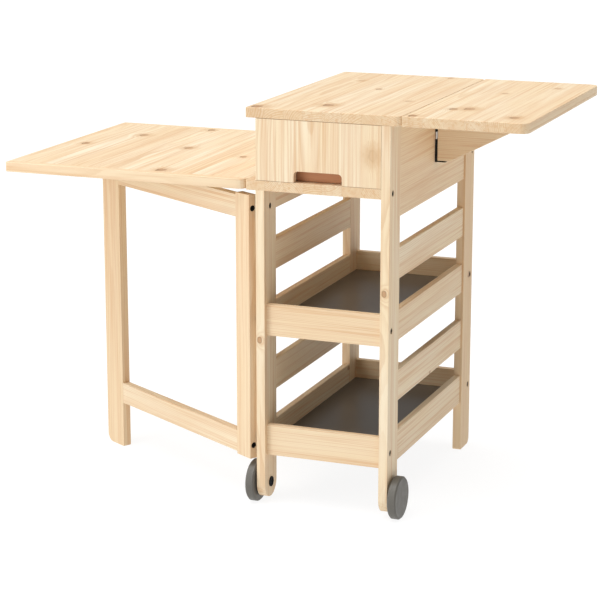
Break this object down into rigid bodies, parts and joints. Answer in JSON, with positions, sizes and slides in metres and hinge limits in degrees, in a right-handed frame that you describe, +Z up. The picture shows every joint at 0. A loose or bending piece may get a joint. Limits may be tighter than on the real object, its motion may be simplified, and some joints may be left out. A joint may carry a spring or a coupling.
{
  "type": "kitchen island cart",
  "caption": "Narrow pine kitchen island cart with a drop leaf at worktop height, a large low table leaf on a swing gate, a drawer, tray shelves and wheels.",
  "frame": {"origin": "on the floor, under the middle of the outline seen from above with both leaves up", "axes": "+Z up, -Y towards the drawer front, +X towards the high right leaf"},
  "size_m": [1.2204, 0.63, 0.9],
  "materials": {
    "pine": "untreated, sanded",
    "grey_board": "satin",
    "wheel_grey": "satin",
    "steel": "zinc plated",
    "black_metal": "satin",
    "black_plastic": "satin"
  },
  "bodies": {
    "cart": {"leg_front_left": "pine", "leg_front_right": "pine", "leg_back_left": "pine", "leg_back_right": "pine", "worktop": "pine", "drawer_board": "pine", "side_panel_left": "pine", "back_panel": "pine", "apron_right": "pine", "apron_left": "pine", "rail_right_1": "pine", "rail_right_2": "pine", "rail_right_3": "pine", "rail_right_4": "pine", "rail_left_1": "pine", "rail_left_2": "pine", "rail_left_3": "pine", "rail_left_4": "pine", "tray_low_front": "pine", "tray_low_back": "pine", "tray_high_front": "pine", "tray_high_back": "pine", "tray_low_floor": "grey_board", "tray_high_floor": "grey_board", "tray_battens": "pine", "frame_bolts": "black_metal", "leaf_right_hinges": "steel", "leaf_left_hinges": "steel", "gate_hinges": "steel", "gate_hinge_bolts": "black_metal", "bracket_knuckle": "steel", "axle_left": "steel", "axle_right": "steel", "axle_caps": "black_plastic"},
    "drawer": {"drawer_front": "pine", "drawer_side_left": "pine", "drawer_side_right": "pine", "drawer_back": "pine", "drawer_floor": "pine", "drawer_grip_rail": "pine"},
    "leaf_right": {"leaf_right": "pine", "leaf_right_plates": "steel"},
    "leaf_left": {"leaf_left": "pine", "leaf_left_lippings": "pine", "leaf_left_plates": "steel"},
    "gate": {"gate_post": "pine", "gate_leg": "pine", "gate_rail_low": "pine", "gate_rail_high": "pine", "gate_bolts": "black_metal", "gate_plates": "steel"},
    "bracket": {"bracket": "pine", "bracket_angle": "black_metal"},
    "wheel_left": {"wheel_left": "wheel_grey"},
    "wheel_right": {"wheel_right": "wheel_grey"}
  },
  "joints": [
    {"name": "drawer_slide", "type": "slide", "parent": "cart", "child": "drawer", "axis": [0, -1, 0], "range_m": [0, 0.34]},
    {"name": "gate_swing", "type": "hinge", "parent": "cart", "child": "gate", "pos_m": [0.0027, -0.283, 0.4], "axis": [0, 0, 1], "range_deg": [-59, 31]},
    {"name": "bracket_swing", "type": "hinge", "parent": "cart", "child": "bracket", "pos_m": [0.3125, 0.019, 0.81], "axis": [0, 0, -1], "range_deg": [0, 90]},
    {"name": "leaf_right_lift", "type": "hinge", "parent": "cart", "child": "leaf_right", "pos_m": [0.3376, 0, 0.8754], "axis": [0, -1, 0], "range_deg": [0, 2]},
    {"name": "leaf_left_lift", "type": "hinge", "parent": "cart", "child": "leaf_left", "pos_m": [-0.0176, 0, 0.7174], "axis": [0, 1, 0], "range_deg": [0, 2]},
    {"name": "wheel_left_spin", "type": "hinge", "parent": "cart", "child": "wheel_left", "pos_m": [-0.008, -0.267, 0.048], "axis": [1, 0, 0], "continuous": true},
    {"name": "wheel_right_spin", "type": "hinge", "parent": "cart", "child": "wheel_right", "pos_m": [0.328, -0.267, 0.048], "axis": [1, 0, 0], "continuous": true}
  ]
}
